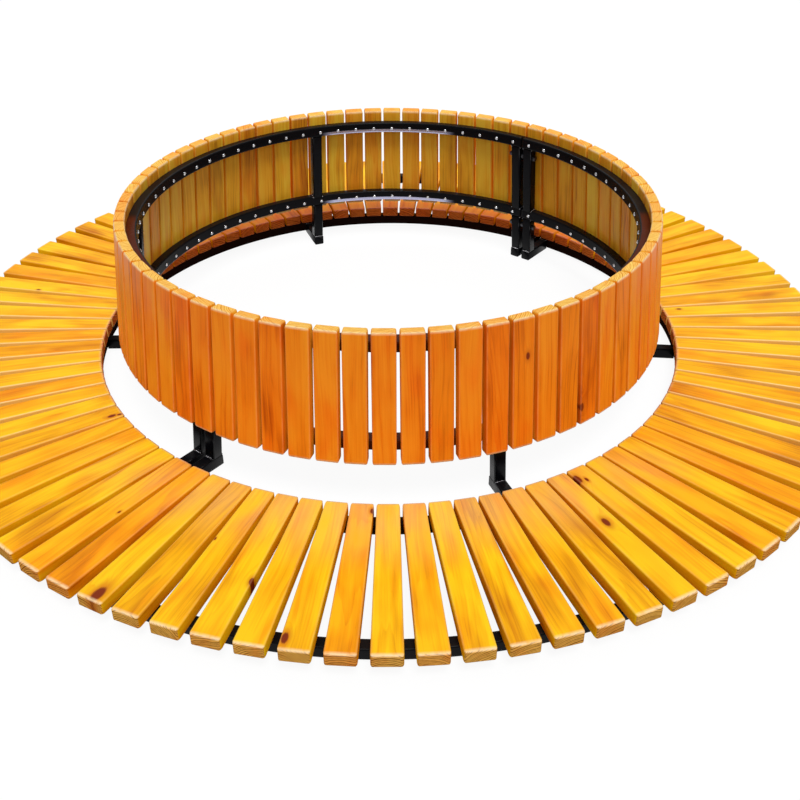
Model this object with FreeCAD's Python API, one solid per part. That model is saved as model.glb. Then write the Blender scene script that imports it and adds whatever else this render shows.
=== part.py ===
import FreeCAD, Part
import math
import os

# Ring bench that stands round a tree: a ring of radial seat slats, and inside it a ring of
# leaning back slats, both on a frame of square tube made as two half circles bolted together.
# Lengths are in mm, angles in degrees. Z is up, the tree stands on the Z axis, and Z = 0 is
# the underside of the frame's arms.

# Back slats
backTopRadius = 750.0
backLean = 6.0
backSlatLength = 343.0
backSlatWidth = 57.0
backSlatThickness = 30.0
backSlatCount = 72
backSlatShift = 0.16

# Seat slats, which are wider at their outer ends
seatPastBackTop = 93.0
seatSlatLength = 469.0
seatSlatInnerWidth = 54.5
seatSlatOuterWidth = 68.5
seatSlatThickness = 35.0
seatSlatCount = 88
seatSlatShift = -0.59
seatToBackRise = 65.0
slatEdge = 3.5

# Rings of square tube, solid inside
ringTube = 32.0
topRingDrop = 31.0
lowRingRise = 24.0
seatRingInset = 7.0
seatSlatOverhang = 48.0
ringEndGap = 2.0

# Frames: each is a leaning post on a flat arm
postTube = 32.0
armTube = 32.0
tubeWall = 2.0
armDrop = 5.0
pairedFrameGap = 12.0
jointAngle = 51.3
frontFrameAngles = (0.0, 59.4, 122.7, 180.0)
rearFrameAngles = (0.0, 58.6, 129.3, 180.0)

# Fasteners
screwHeadDiameter = 11.0
screwHeadHeight = 3.5
boltDiameter = 10.0
boltHoleClearance = 0.5
boltHeadFlats = 16.0
boltHeadHeight = 6.4
boltTail = 4.0
nutHeight = 8.0
threadClearance = 0.15
washerDiameter = 20.0
washerThickness = 2.0
spacerDiameter = 18.0
postBoltDrop = 32.0
roundSides = 12

# Clearances where a flat meets a curved face
slatSeatGap = 0.2
screwSeatGap = 0.1
weldGap = 0.2

# Levels and directions worked out from the sizes above
ringUnderside = armDrop
seatUnderside = ringUnderside + ringTube
seatTop = seatUnderside + seatSlatThickness
leanSin = math.sin(math.radians(backLean))
leanCos = math.cos(math.radians(backLean))
backTop = seatTop + seatToBackRise + backSlatLength * leanCos
seatInnerRadius = backTopRadius + seatPastBackTop
axis = FreeCAD.Vector(0, 0, 1)
centre = FreeCAD.Vector(0, 0, 0)


def backPoint(inward, down, side=0.0):
    """A point of the back's own section, from the outer top edge of a slat at angle 0."""
    radius = backTopRadius - inward * leanCos + down * leanSin
    height = backTop - inward * leanSin - down * leanCos
    return FreeCAD.Vector(radius, side, height)


def backRadiusAt(height, inward):
    """Radius of the layer that lies so far inward of the back's outer face, at a height."""
    down = (backTop - inward * leanSin - height) / leanCos
    return backPoint(inward, down).x


def turned(shape, angle):
    copy = shape.copy()
    copy.rotate(centre, axis, angle)
    return copy


def closedFace(points):
    return Part.Face(Part.makePolygon(points + [points[0]]))


def backSlat():
    half = backSlatWidth / 2
    outline = [
        backPoint(0, 0, -half + slatEdge),
        backPoint(0, 0, half - slatEdge),
        backPoint(slatEdge, 0, half),
        backPoint(backSlatThickness, 0, half),
        backPoint(backSlatThickness, 0, -half),
        backPoint(slatEdge, 0, -half),
    ]
    length = backPoint(0, backSlatLength) - backPoint(0, 0)
    return closedFace(outline).extrude(length)


def seatSlat():
    inner = seatInnerRadius
    outer = inner + seatSlatLength
    halfInner = seatSlatInnerWidth / 2
    halfOuter = seatSlatOuterWidth / 2
    outline = [
        FreeCAD.Vector(inner, -halfInner, seatUnderside),
        FreeCAD.Vector(outer, -halfOuter, seatUnderside),
        FreeCAD.Vector(outer, halfOuter, seatUnderside),
        FreeCAD.Vector(inner, halfInner, seatUnderside),
    ]
    plank = closedFace(outline).extrude(FreeCAD.Vector(0, 0, seatSlatThickness))
    topLongEdges = []
    for edge in plank.Edges:
        isTop = edge.BoundBox.ZMin > seatTop - slatEdge
        if isTop and edge.Length > seatSlatOuterWidth:
            topLongEdges.append(edge)
    return plank.makeChamfer(slatEdge, topLongEdges)


def slatAngles(count, shift):
    pitch = 360.0 / count
    return [jointAngle + (index + 0.5) * pitch + shift for index in range(count)]


def quarters(angles):
    """The four groups of slats, counter-clockwise from the joint at the rear right."""
    size = len(angles) // 4
    names = ("rear", "left", "front", "right")
    return [(name, angles[i * size:(i + 1) * size]) for i, name in enumerate(names)]


def slatGroups(slat, angles, label):
    groups = {}
    for name, group in quarters(angles):
        groups[label + "_" + name] = Part.makeCompound([turned(slat, a) for a in group])
    return groups


def halves(ring, label):
    """Cuts a full ring along the joint plane and names its front and rear half."""
    reach = ring.BoundBox.DiagonalLength
    slab = Part.makeBox(2 * reach, ringEndGap, 2 * reach)
    slab.translate(FreeCAD.Vector(-reach, -ringEndGap / 2, -reach))
    pieces = ring.cut(turned(slab, jointAngle)).Solids
    pieces.sort(key=lambda piece: piece.CenterOfMass.y)
    return {label + "_front": pieces[0], label + "_rear": pieces[1]}


def backRing(down):
    """A ring against the inner faces of the back slats, its top so far down the slats."""
    inward = backSlatThickness + slatSeatGap
    section = closedFace([
        backPoint(inward, down),
        backPoint(inward + ringTube, down),
        backPoint(inward + ringTube, down + ringTube),
        backPoint(inward, down + ringTube),
    ])
    return section.revolve(centre, axis, 360)


def seatRing(innerRadius):
    outer = Part.makeCylinder(innerRadius + ringTube, ringTube)
    ring = outer.cut(Part.makeCylinder(innerRadius, ringTube))
    ring.translate(FreeCAD.Vector(0, 0, ringUnderside))
    return ring


seatInnerRingRadius = seatInnerRadius + seatRingInset
seatOuterRingRadius = seatInnerRadius + seatSlatLength - seatSlatOverhang - ringTube
lowRingDown = backSlatLength - lowRingRise - ringTube
layerInward = backSlatThickness + slatSeatGap
besideJoint = (pairedFrameGap + postTube) / 2


def postInward(side):
    """How far inward a post's outer face lies, so that its corners clear the slats."""
    radius = backPoint(layerInward, 0).x
    edge = abs(side) + postTube / 2
    return layerInward + weldGap + radius - math.sqrt(radius ** 2 - edge ** 2)


def leaningTube(topDown, bottomDown, side):
    """Square tube in the layer of the back rings, between two distances down the slats."""
    outerFace = postInward(side)

    def bar(inset):
        size = postTube - 2 * inset
        outline = [
            backPoint(outerFace + inset, topDown),
            backPoint(outerFace + postTube - inset, topDown),
            backPoint(outerFace + postTube - inset, bottomDown),
            backPoint(outerFace + inset, bottomDown),
        ]
        solid = closedFace(outline).extrude(FreeCAD.Vector(0, size, 0))
        solid.translate(FreeCAD.Vector(0, side - size / 2, 0))
        return solid
    return bar(0).cut(bar(tubeWall))


def upperPost(side):
    return leaningTube(topRingDrop + ringTube + weldGap, lowRingDown - weldGap, side)


def lowerPost(side):
    """The post's foot, cut level where it stands on the arm."""
    below = (backTop + postTube) / leanCos
    post = leaningTube(lowRingDown + ringTube + weldGap, below, side)
    reach = 2 * backTopRadius
    ground = Part.makeBox(reach, reach, reach)
    ground.translate(FreeCAD.Vector(0, -reach / 2, armTube - reach))
    return post.cut(ground)


def armTubeBetween(start, end, side, closedStart):
    """Level square tube along X. A closed start keeps a wall across that end."""
    bar = Part.makeBox(end - start, armTube, armTube)
    bar.translate(FreeCAD.Vector(start, side - armTube / 2, 0))
    inside = armTube - 2 * tubeWall
    startWall = tubeWall if closedStart else 0.0
    bore = Part.makeBox(end - start - startWall, inside, inside)
    bore.translate(FreeCAD.Vector(start + startWall, side - inside / 2, tubeWall))
    return bar.cut(bore)


def insideCylinder(radius, side):
    """How far out a square end may reach inside a round face without touching it."""
    edge = abs(side) + armTube / 2
    return math.sqrt(radius ** 2 - edge ** 2) - weldGap


def innerArm(side):
    start = backRadiusAt(armTube, postInward(side) + postTube)
    return armTubeBetween(start, insideCylinder(seatInnerRingRadius, side), side, True)


def outerArm(side):
    start = seatInnerRingRadius + ringTube + weldGap
    return armTubeBetween(start, insideCylinder(seatOuterRingRadius, side), side, False)


def framePlaces():
    """Angle and sideways offset of each frame. Those at a joint stand beside its plane."""
    places = []
    for start, angles in ((jointAngle + 180, frontFrameAngles), (jointAngle, rearFrameAngles)):
        for angle in angles:
            side = 0.0
            if angle == angles[0]:
                side = besideJoint
            elif angle == angles[-1]:
                side = -besideJoint
            places.append((start + angle, side))
    return places


def boltPlaces():
    """Radius and height of each joint bolt's axis, which runs square to the joint plane."""
    middle = postInward(besideJoint) + postTube / 2
    upper = backPoint(middle, topRingDrop + ringTube + postBoltDrop)
    lower = backPoint(middle, lowRingDown + ringTube + postBoltDrop)
    return [upper, lower]


def prismAlong(place, start, sides, flats, length):
    """Many-sided bar along Y through a bolt's place, measured across its flats."""
    corner = flats / 2 / math.cos(math.pi / sides)
    points = []
    for step in range(sides):
        turn = 2 * math.pi * step / sides
        x = place.x + corner * math.cos(turn)
        points.append(FreeCAD.Vector(x, start, place.z + corner * math.sin(turn)))
    return closedFace(points).extrude(FreeCAD.Vector(0, length, 0))


def hexagon(place, start, length):
    return prismAlong(place, start, 6, boltHeadFlats, length)


def rod(place, start, diameter, length):
    return prismAlong(place, start, roundSides, diameter, length)


gripHalf = pairedFrameGap / 2 + postTube
boltHole = boltDiameter + 2 * boltHoleClearance


def drilled(shape, place):
    """Bolt hole through a post that stands beside the joint plane."""
    return shape.cut(rod(place, -2 * gripHalf, boltHole, 4 * gripHalf))


def bolt(place):
    washerFace = gripHalf + washerThickness
    head = hexagon(place, -washerFace - boltHeadHeight, boltHeadHeight)
    length = 2 * washerFace + nutHeight + boltTail
    return head.fuse(rod(place, -washerFace, boltDiameter, length)).removeSplitter()


def nut(place):
    start = gripHalf + washerThickness
    bore = rod(place, start, boltDiameter + 2 * threadClearance, nutHeight)
    return hexagon(place, start, nutHeight).cut(bore)


def sleeve(place, start, diameter, length):
    return rod(place, start, diameter, length).cut(rod(place, start, boltHole, length))


def washers(place):
    first = sleeve(place, -gripHalf - washerThickness, washerDiameter, washerThickness)
    second = sleeve(place, gripHalf, washerDiameter, washerThickness)
    return [first, second]


def spacer(place):
    return sleeve(place, -pairedFrameGap / 2, spacerDiameter, pairedFrameGap)


def jointFasteners():
    """The fasteners of both joints, one kind to a node."""
    nodes = {"joint_bolts": [], "joint_nuts": [], "joint_washers": [], "joint_spacers": []}
    for angle in (jointAngle, jointAngle + 180):
        for place in boltPlaces():
            nodes["joint_bolts"].append(turned(bolt(place), angle))
            nodes["joint_nuts"].append(turned(nut(place), angle))
            nodes["joint_spacers"].append(turned(spacer(place), angle))
            nodes["joint_washers"].extend(turned(ring, angle) for ring in washers(place))
    return {name: Part.makeCompound(solids) for name, solids in nodes.items()}


def screwHead(base, direction):
    """Domed head on a tube's face, as a low six-sided cone."""
    corner = FreeCAD.Vector(0, screwHeadDiameter / 2, 0)
    points = []
    for step in range(6):
        turn = FreeCAD.Rotation(direction, 60 * step)
        points.append(base + turn.multVec(corner))
    rim = Part.makePolygon(points + [points[0]])
    return Part.makeLoft([rim, Part.Vertex(base + direction * screwHeadHeight)], True, True)


def backScrews(down):
    """Heads on the inner face of a back ring, one to a slat."""
    base = backPoint(layerInward + ringTube + screwSeatGap, down + ringTube / 2)
    inward = FreeCAD.Vector(-leanCos, 0, -leanSin)
    head = screwHead(base, inward)
    angles = slatAngles(backSlatCount, backSlatShift)
    return Part.makeCompound([turned(head, angle) for angle in angles])


def seatScrews(ringRadius):
    """Heads under a seat ring, one to a slat."""
    base = FreeCAD.Vector(ringRadius + ringTube / 2, 0, ringUnderside)
    head = screwHead(base, FreeCAD.Vector(0, 0, -1))
    angles = slatAngles(seatSlatCount, seatSlatShift)
    return Part.makeCompound([turned(head, angle) for angle in angles])


def frames():
    """Posts and arms. The posts beside a joint are drilled for its bolts."""
    upperBolt, lowerBolt = boltPlaces()
    nodes = {}
    for number, (angle, side) in enumerate(framePlaces(), start=1):
        upper = upperPost(side)
        lower = lowerPost(side)
        if side:
            upper = drilled(upper, upperBolt)
            lower = drilled(lower, lowerBolt)
        pieces = {
            "post_upper": upper,
            "post_lower": lower,
            "arm_inner": innerArm(side),
            "arm_outer": outerArm(side),
        }
        for label, shape in pieces.items():
            nodes[label + "_" + str(number)] = turned(shape, angle)
    return nodes


def buildNodes():
    nodes = {}
    nodes.update(slatGroups(backSlat(), slatAngles(backSlatCount, backSlatShift), "back_slats"))
    nodes.update(slatGroups(seatSlat(), slatAngles(seatSlatCount, seatSlatShift), "seat_slats"))
    nodes.update(halves(backRing(topRingDrop), "back_ring_top"))
    nodes.update(halves(backRing(lowRingDown), "back_ring_low"))
    nodes.update(halves(seatRing(seatInnerRingRadius), "seat_ring_inner"))
    nodes.update(halves(seatRing(seatOuterRingRadius), "seat_ring_outer"))
    nodes.update(frames())
    nodes["back_screws_top"] = backScrews(topRingDrop)
    nodes["back_screws_low"] = backScrews(lowRingDown)
    nodes["seat_screws_inner"] = seatScrews(seatInnerRingRadius)
    nodes["seat_screws_outer"] = seatScrews(seatOuterRingRadius)
    nodes.update(jointFasteners())
    return nodes


os.makedirs("parts", exist_ok=True)
for name, shape in buildNodes().items():
    shape.exportStep("parts/" + name + ".step")
    print(name, len(shape.Solids), "solids", round(shape.Volume / 1000), "cm3")
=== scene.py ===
import math
import bmesh
import bpy
from mathutils import Matrix, Vector


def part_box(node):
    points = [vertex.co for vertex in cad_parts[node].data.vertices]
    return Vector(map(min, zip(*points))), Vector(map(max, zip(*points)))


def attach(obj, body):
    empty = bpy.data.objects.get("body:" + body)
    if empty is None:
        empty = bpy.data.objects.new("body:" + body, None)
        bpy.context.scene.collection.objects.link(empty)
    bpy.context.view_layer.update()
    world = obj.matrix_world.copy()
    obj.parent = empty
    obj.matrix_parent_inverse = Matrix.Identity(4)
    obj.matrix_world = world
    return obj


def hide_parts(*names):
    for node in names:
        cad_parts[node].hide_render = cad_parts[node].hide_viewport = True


# A ring bench that stands round a tree. Lengths are in metres, angles in degrees.
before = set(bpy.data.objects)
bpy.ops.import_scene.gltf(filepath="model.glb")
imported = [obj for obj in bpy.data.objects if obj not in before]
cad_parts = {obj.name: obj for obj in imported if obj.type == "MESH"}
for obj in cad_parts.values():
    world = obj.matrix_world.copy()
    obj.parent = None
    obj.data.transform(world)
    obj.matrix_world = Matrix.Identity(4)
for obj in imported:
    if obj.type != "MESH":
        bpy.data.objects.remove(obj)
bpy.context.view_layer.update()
print("frame loaded")

# Directions count counter-clockwise from +X, seen from above
bench = {
    "backTopRadius": 0.750,
    "backTopHeight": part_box("back_slats_front")[1].z,
    "lean": 6.0,
    "jointAngle": 51.3,
    "tube": 0.032,
    "tubeCorner": 0.0048,
    "cornerSteps": 4,
    "ringUnderside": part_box("seat_ring_inner_front")[0].z,
    "seatTop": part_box("seat_slats_front")[1].z,
}

# Places of the rings: how far down the back's slope, how far inward of its outer face, and the seat rings' inner radii
rings = {
    "steps": 361,
    "endGap": 0.002,
    "topDrop": 0.031,
    "lowDrop": 0.287,
    "backLayer": 0.0302,
    "innerSeatRadius": 0.850,
    "outerSeatRadius": 1.232,
}


def backPoint(inward, down, side=0.0):
    # a point of the back's section, from the outer top edge of a slat on +X
    lean = math.radians(bench["lean"])
    radius = bench["backTopRadius"] - inward * math.cos(lean) + down * math.sin(lean)
    height = bench["backTopHeight"] - inward * math.sin(lean) - down * math.cos(lean)
    return Vector((radius, side, height))


# Helpers for node trees and meshes

def addNode(tree, kind, inputs=None, **settings):
    made = tree.nodes.new(kind)
    for name, value in settings.items():
        setattr(made, name, value)
    for key, value in (inputs or {}).items():
        if isinstance(value, bpy.types.NodeSocket):
            tree.links.new(value, made.inputs[key])
        else:
            made.inputs[key].default_value = value
    return made


def output(tree, kind, inputs=None, **settings):
    return addNode(tree, kind, inputs, **settings).outputs[0]


def emptyTree(owner):
    owner.use_nodes = True
    owner.node_tree.nodes.clear()
    return owner.node_tree


def calc(tree, operation, *values):
    return output(tree, "ShaderNodeMath", dict(enumerate(values)), operation=operation)


def product(tree, first, *others):
    for other in others:
        first = calc(tree, "MULTIPLY", first, other)
    return first


def vecCalc(tree, operation, *values):
    return output(tree, "ShaderNodeVectorMath", dict(enumerate(values)), operation=operation)


def combine(tree, x=0.0, y=0.0, z=0.0):
    return output(tree, "ShaderNodeCombineXYZ", {"X": x, "Y": y, "Z": z})


def separate(tree, vector):
    return addNode(tree, "ShaderNodeSeparateXYZ", {"Vector": vector}).outputs


def storeNumber(tree, shape, label, value, kind="FLOAT_VECTOR", domain="POINT"):
    return output(tree, "GeometryNodeStoreNamedAttribute", {0: shape, 2: label, 3: value},
                  data_type=kind, domain=domain)


def turned(tree, x=0.0, y=0.0, z=0.0):
    return output(tree, "FunctionNodeEulerToRotation", {0: combine(tree, x, y, z)})


def dress(tree, shape, material, result):
    tree.links.new(output(tree, "GeometryNodeSetMaterial", {0: shape, "Material": material}), result)


def newObject(name, mesh):
    piece = bpy.data.objects.new(name, mesh)
    bpy.context.scene.collection.objects.link(piece)
    return piece


def startShape(name, inputs):
    tree = bpy.data.node_groups.new(name, "GeometryNodeTree")
    tree.interface.new_socket("Geometry", in_out="OUTPUT", socket_type="NodeSocketGeometry")
    for label, kind in inputs.items():
        tree.interface.new_socket(label, in_out="INPUT", socket_type="NodeSocket" + kind)
    return tree, tree.nodes.new("NodeGroupInput").outputs, tree.nodes.new("NodeGroupOutput").inputs[0]


def bakePiece(maker, name):
    maker.modifiers.new("evenNormals", "WEIGHTED_NORMAL")
    seen = bpy.context.evaluated_depsgraph_get()
    mesh = bpy.data.meshes.new_from_object(maker.evaluated_get(seen), preserve_all_data_layers=True, depsgraph=seen)
    bpy.data.objects.remove(maker)
    mesh.name = name
    return newObject(name, mesh)


def growPiece(name, tree, values, base=None):
    maker = newObject(name + "Maker", base or bpy.data.meshes.new(name + "Base"))
    modifier = maker.modifiers.new("shape", "NODES")
    modifier.node_group = tree
    for item in tree.interface.items_tree:
        if item.item_type == "SOCKET" and item.in_out == "INPUT" and item.name in values:
            modifier[item.identifier] = values[item.name]
    return bakePiece(maker, name)


def closePiece(name, shape, material):
    bmesh.ops.recalc_face_normals(shape, faces=shape.faces)
    mesh = bpy.data.meshes.new(name)
    shape.to_mesh(mesh)
    shape.free()
    mesh.materials.append(material)
    return bakePiece(newObject(name + "Maker", mesh), name)


def lathe(shape, profile, sides, matrix, closed=False):
    # profile: radius, height and, for a row that is cut to a hexagon, the width across its flats
    rows = []
    for radius, height, *flats in profile:
        row = []
        for step in range(sides):
            turn = math.tau * step / sides
            reach = min(radius, hexReach(flats[0], turn)) if flats else radius
            row.append(shape.verts.new(matrix @ Vector((reach * math.cos(turn), reach * math.sin(turn), height))))
        rows.append(row)
    for lower, upper in zip(rows, rows[1:] + rows[:1] if closed else rows[1:]):
        for step in range(sides):
            after = (step + 1) % sides
            shape.faces.new((lower[step], lower[after], upper[after], upper[step])).smooth = True
    if not closed:
        shape.faces.new(list(reversed(rows[0])))
        shape.faces.new(rows[-1])


def hexReach(flats, turn):
    return flats / 2 / math.cos((turn + math.pi / 6) % (math.pi / 3) - math.pi / 6)


def finishPiece(piece, slotName, *nodes):
    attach(piece, "root")
    if nodes:
        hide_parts(*nodes)


# Camera, placed and aimed by fitting the rings' curves in the picture
camera = {
    "place": (0.0, -2.7252, 1.6439),
    "lens": 46.889,
    "sensorWidth": 36.0,
    "farthest": 60.0,
    "tiltDown": 34.235,
    "panRight": 0.6583,
    "roll": -0.0774,
}


def addCamera():
    lensData = bpy.data.cameras.new("camera")
    lensData.sensor_width = camera["sensorWidth"]
    lensData.lens = camera["lens"]
    lensData.clip_end = camera["farthest"]
    eye = newObject("camera", lensData)
    aim = Matrix.Rotation(-math.radians(camera["panRight"]), 4, "Z")
    aim @= Matrix.Rotation(math.radians(90 - camera["tiltDown"]), 4, "X")
    aim @= Matrix.Rotation(math.radians(camera["roll"]), 4, "Z")
    eye.matrix_world = Matrix.Translation(camera["place"]) @ aim
    bpy.context.scene.camera = eye


addCamera()
print("camera placed")

# Floor, sky and lamps
studio = {
    "white": (1.0, 1.0, 1.0, 1.0),
    "floorSize": 30.0,
    "floorSeen": 0.90,
    "floorBounce": 0.30,
    "floorGlow": 0.90,
    "glowStrength": 1.02,
    "skyStrength": 0.50,
    "sunStrength": 1.85,
    "sunDirection": (0.10, -0.46, 1.0),
    "sunSoftness": 24.0,
    "windowPlace": (0.0, 2.15, 2.30),
    "windowSize": (1.5, 0.55),
    "windowPower": 13.0,
}


def addSky():
    # dimmer as a light than as a background
    sky = bpy.data.worlds.new("sky")
    bpy.context.scene.world = sky
    tree = emptyTree(sky)
    path = addNode(tree, "ShaderNodeLightPath").outputs
    seen = calc(tree, "MAXIMUM", path["Is Camera Ray"], path["Is Transmission Ray"])
    lift = calc(tree, "MULTIPLY_ADD", seen, 1.0 - studio["skyStrength"], studio["skyStrength"])
    white = output(tree, "ShaderNodeBackground", {"Color": studio["white"], "Strength": lift})
    addNode(tree, "ShaderNodeOutputWorld", {"Surface": white})


def addFloor():
    # near white where it is seen, greyer in the light that it throws back
    half = studio["floorSize"] / 2
    mesh = bpy.data.meshes.new("floor")
    mesh.from_pydata([(-half, -half, 0), (half, -half, 0), (half, half, 0), (-half, half, 0)], [], [(0, 1, 2, 3)])
    floor = newObject("floor", mesh)
    paint = bpy.data.materials.new("paleFloor")
    tree = emptyTree(paint)
    path = addNode(tree, "ShaderNodeLightPath").outputs
    seen = calc(tree, "MAXIMUM", path["Is Camera Ray"], path["Is Glossy Ray"])
    seen = calc(tree, "MAXIMUM", seen, path["Is Transmission Ray"])
    level = calc(tree, "MULTIPLY_ADD", seen, studio["floorSeen"] - studio["floorBounce"], studio["floorBounce"])
    matte = output(tree, "ShaderNodeBsdfDiffuse", {"Color": level})
    glow = output(tree, "ShaderNodeEmission", {"Color": studio["white"], "Strength": studio["glowStrength"]})
    share = product(tree, seen, studio["floorGlow"])
    mixed = output(tree, "ShaderNodeMixShader", {0: share, 1: matte, 2: glow})
    addNode(tree, "ShaderNodeOutputMaterial", {"Surface": mixed})
    mesh.materials.append(paint)


def facingFrom(direction):
    return Vector(direction).to_track_quat("Z", "Y").to_euler()


def addLamps():
    lamp = bpy.data.lights.new("softSun", "SUN")
    lamp.energy = studio["sunStrength"]
    lamp.angle = math.radians(studio["sunSoftness"])
    newObject("softSun", lamp).rotation_euler = facingFrom(studio["sunDirection"])

    # a low window behind the bench, whose shine falls on the top ends of the front back slats
    lamp = bpy.data.lights.new("window", "AREA")
    lamp.shape = "RECTANGLE"
    lamp.size, lamp.size_y = studio["windowSize"]
    lamp.energy = studio["windowPower"]
    window = newObject("window", lamp)
    window.location = studio["windowPlace"]
    lit = Vector((0.0, -bench["backTopRadius"], bench["backTopHeight"]))
    window.rotation_euler = facingFrom(Vector(studio["windowPlace"]) - lit)


bpy.context.scene.view_settings.view_transform = "Standard"
addSky()
addFloor()
addLamps()
print("studio lit")


# Helpers for materials

def startMaterial(name):
    material = bpy.data.materials.new(name)
    tree = emptyTree(material)
    shader = addNode(tree, "ShaderNodeBsdfPrincipled")
    addNode(tree, "ShaderNodeOutputMaterial", {"Surface": shader.outputs[0]})
    return material, tree, shader.inputs


def wire(tree, shader, sources):
    for label, socket in sources.items():
        tree.links.new(socket, shader[label])


def spotOnPiece(tree):
    return addNode(tree, "ShaderNodeTexCoord").outputs["Object"]


def normalHere(tree):
    return separate(tree, addNode(tree, "ShaderNodeNewGeometry").outputs["Normal"])


def ramp(tree, amount, stops):
    made = addNode(tree, "ShaderNodeValToRGB", {"Fac": amount})
    elements = made.color_ramp.elements
    while len(elements) < len(stops):
        elements.new(0.5)
    for element, (place, colour) in zip(elements, stops):
        element.position = place
        element.color = (*colour, 1.0)
    return made.outputs["Color"]


def blend(tree, share, first, second, mode="MIX"):
    made = addNode(tree, "ShaderNodeMix", {0: share, 6: first, 7: second}, data_type="RGBA", blend_type=mode)
    made.clamp_factor = True
    return made.outputs[2]


def noise(tree, place, stretch, detail=2.0, roughness=0.5):
    scaled = vecCalc(tree, "MULTIPLY", place, stretch)
    values = {"Vector": scaled, "Scale": 1.0, "Detail": detail, "Roughness": roughness}
    return output(tree, "ShaderNodeTexNoise", values)


def noiseAlong(tree, place, stretch, detail):
    values = {"W": product(tree, place, stretch), "Scale": 1.0, "Detail": detail}
    return output(tree, "ShaderNodeTexNoise", values, noise_dimensions="1D")


def between(tree, value, low, high, toLow=0.0, toHigh=1.0):
    made = addNode(tree, "ShaderNodeMapRange", {0: value, 1: low, 2: high, 3: toLow, 4: toHigh})
    made.clamp = True
    return made.outputs[0]


def softStep(tree, value, low, high):
    made = addNode(tree, "ShaderNodeMapRange", {0: value, 1: low, 2: high}, interpolation_type="SMOOTHSTEP")
    return made.outputs[0]


def bumps(tree, height, strength, depth):
    return output(tree, "ShaderNodeBump", {"Strength": strength, "Distance": depth, "Height": height})


def hypotenuse(tree, x, y):
    return calc(tree, "SQRT", calc(tree, "MULTIPLY_ADD", x, x, product(tree, y, y)))


def sway(tree, base, value, share, middle=0.5):
    # the base, moved by a share of how far the value is from its middle
    return calc(tree, "MULTIPLY_ADD", calc(tree, "SUBTRACT", value, middle), share, base)


# Timber. Stretches are along, across and through a plank; a step's two values are where it begins and ends.
timber = {
    "ringWidth": 0.0044,
    "ringUnevenness": 2.6,
    "unevenStretch": 55.0,
    "pithAcross": 0.16,
    "pithNear": 0.035,
    "pithFar": 0.15,
    "logLength": 20.0,
    "slope": 0.05,
    "drift": 0.03,
    "driftStretch": 2.2,
    "wobble": 0.010,
    "wobbleStretch": (3.0, 28.0, 28.0),
    "fibreStretch": (7.0, 520.0, 520.0),
    "streakStretch": (1.6, 85.0, 85.0),
    "cloudStretch": (5.0, 17.0, 17.0),
    "poreStretch": (42.0, 1500.0, 1500.0),
    "patchStretch": (6.0, 22.0, 22.0),
    "wearStretch": (60.0, 60.0, 60.0),
    "wearPatches": (0.30, 0.55, 0.45, 1.0),
    "lateWood": ((0.0, 0.10), (0.45, 0.0), (0.82, 0.75), (0.95, 1.0), (1.0, 0.10)),
    "poreStep": (0.66, 0.76),
    "patchStep": (0.48, 0.74),
    "endStep": (0.85, 1.0),
    "endLate": (0.0, 0.7),
    "endStrength": (0.6, 1.1),
    "endStreak": 0.5,
    "endStreakMiddle": 0.45,
    "streakMiddle": 0.42,
    "faintestLine": 0.06,
    "fibreShare": 0.45,
    "poreShare": 0.14,
    "valueShare": 0.34,
    "darkness": 0.17,
    "middleShade": 0.38,
    "redder": (1.0, 0.70, 0.60, 1.0),
    "redByHue": 0.75,
    "redByPatch": 0.6,
    "knotStretch": 0.50,
    "knotPush": 1.6,
    "pushFall": 0.22,
    "knotColour": (0.22, 0.030, 0.005, 1.0),
    "knotStep": (1.05, 0.65),
    "haloColour": (0.60, 0.125, 0.006, 1.0),
    "haloShare": 0.75,
    "haloStep": (2.6, 0.9),
    "raggedness": 0.5,
    "outside": (0.97, 0.52, 0.30, 1.0),
    "outsideStep": (-0.004, 0.012),
    "innerEnd": (0.92, 0.46, 0.40, 1.0),
    "innerEndStep": (0.0, -0.05),
    # painted sheen near the inner ends of the front seat slats
    "sheenAlong": (0.03, -0.20),
    "sheenFront": (-0.55, -0.85),
    "sheenCloud": (0.3, 0.6, 0.05, 0.20),
    # pale of worn edges that is partly a painted highlight; also the colour of the painted sheen
    "edgeColour": (1.0, 0.76, 0.45, 1.0),
    "endWearAndHighlight": 0.70,
    "seatEndWearAndHighlight": (-0.1, 0.1, 0.32, 0.85),
    "longWearAndHighlight": 0.12,
    "rearEndShade": (0.86, 0.50, 0.55, 1.0),
    "rearEndAlong": (-0.12, -0.20),
    "rearEndBack": (0.2, 0.6),
    "litSide": (1.0, 0.64, 0.16, 1.0),
    "litEdge": (0.2, 0.9),
    "litFacing": (-0.30, -0.65),
    "litSideways": (0.85, 1.20),
    "litFront": (0.38, 0.05),
    "litWear": 0.40,
    "roughness": 0.24,
    "endRoughness": 0.16,
    "fibreRoughness": 0.14,
    "lateHeight": -0.35,
    "fibreHeight": 0.7,
    "poreHeight": -0.6,
    "bumpStrength": 0.30,
    "bumpDepth": 0.0003,
}
seatWood = {
    "stained": False,
    "shades": ((1.0, 0.640, 0.009), (0.96, 0.460, 0.004), (0.56, 0.160, 0.002)),
    "endShades": ((0.94, 0.500, 0.095), (0.24, 0.066, 0.006)),
    "lineShare": 0.22,
    "streakShare": 0.80,
    "leastCloud": 1.05,
    "extraCloud": 1.30,
    "gloss": 0.14,
    "sawnStep": (0.9, 1.0),
}
backWood = {
    "stained": True,
    "shades": ((1.0, 0.620, 0.050), (0.93, 0.460, 0.024), (0.46, 0.145, 0.008)),
    "endShades": ((1.0, 0.640, 0.150), (0.64, 0.250, 0.030)),
    "lineShare": 0.26,
    "streakShare": 1.05,
    "leastCloud": 0.65,
    "extraCloud": 1.00,
    "gloss": 0.09,
    "sawnStep": (0.2, 0.8),
}


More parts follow.
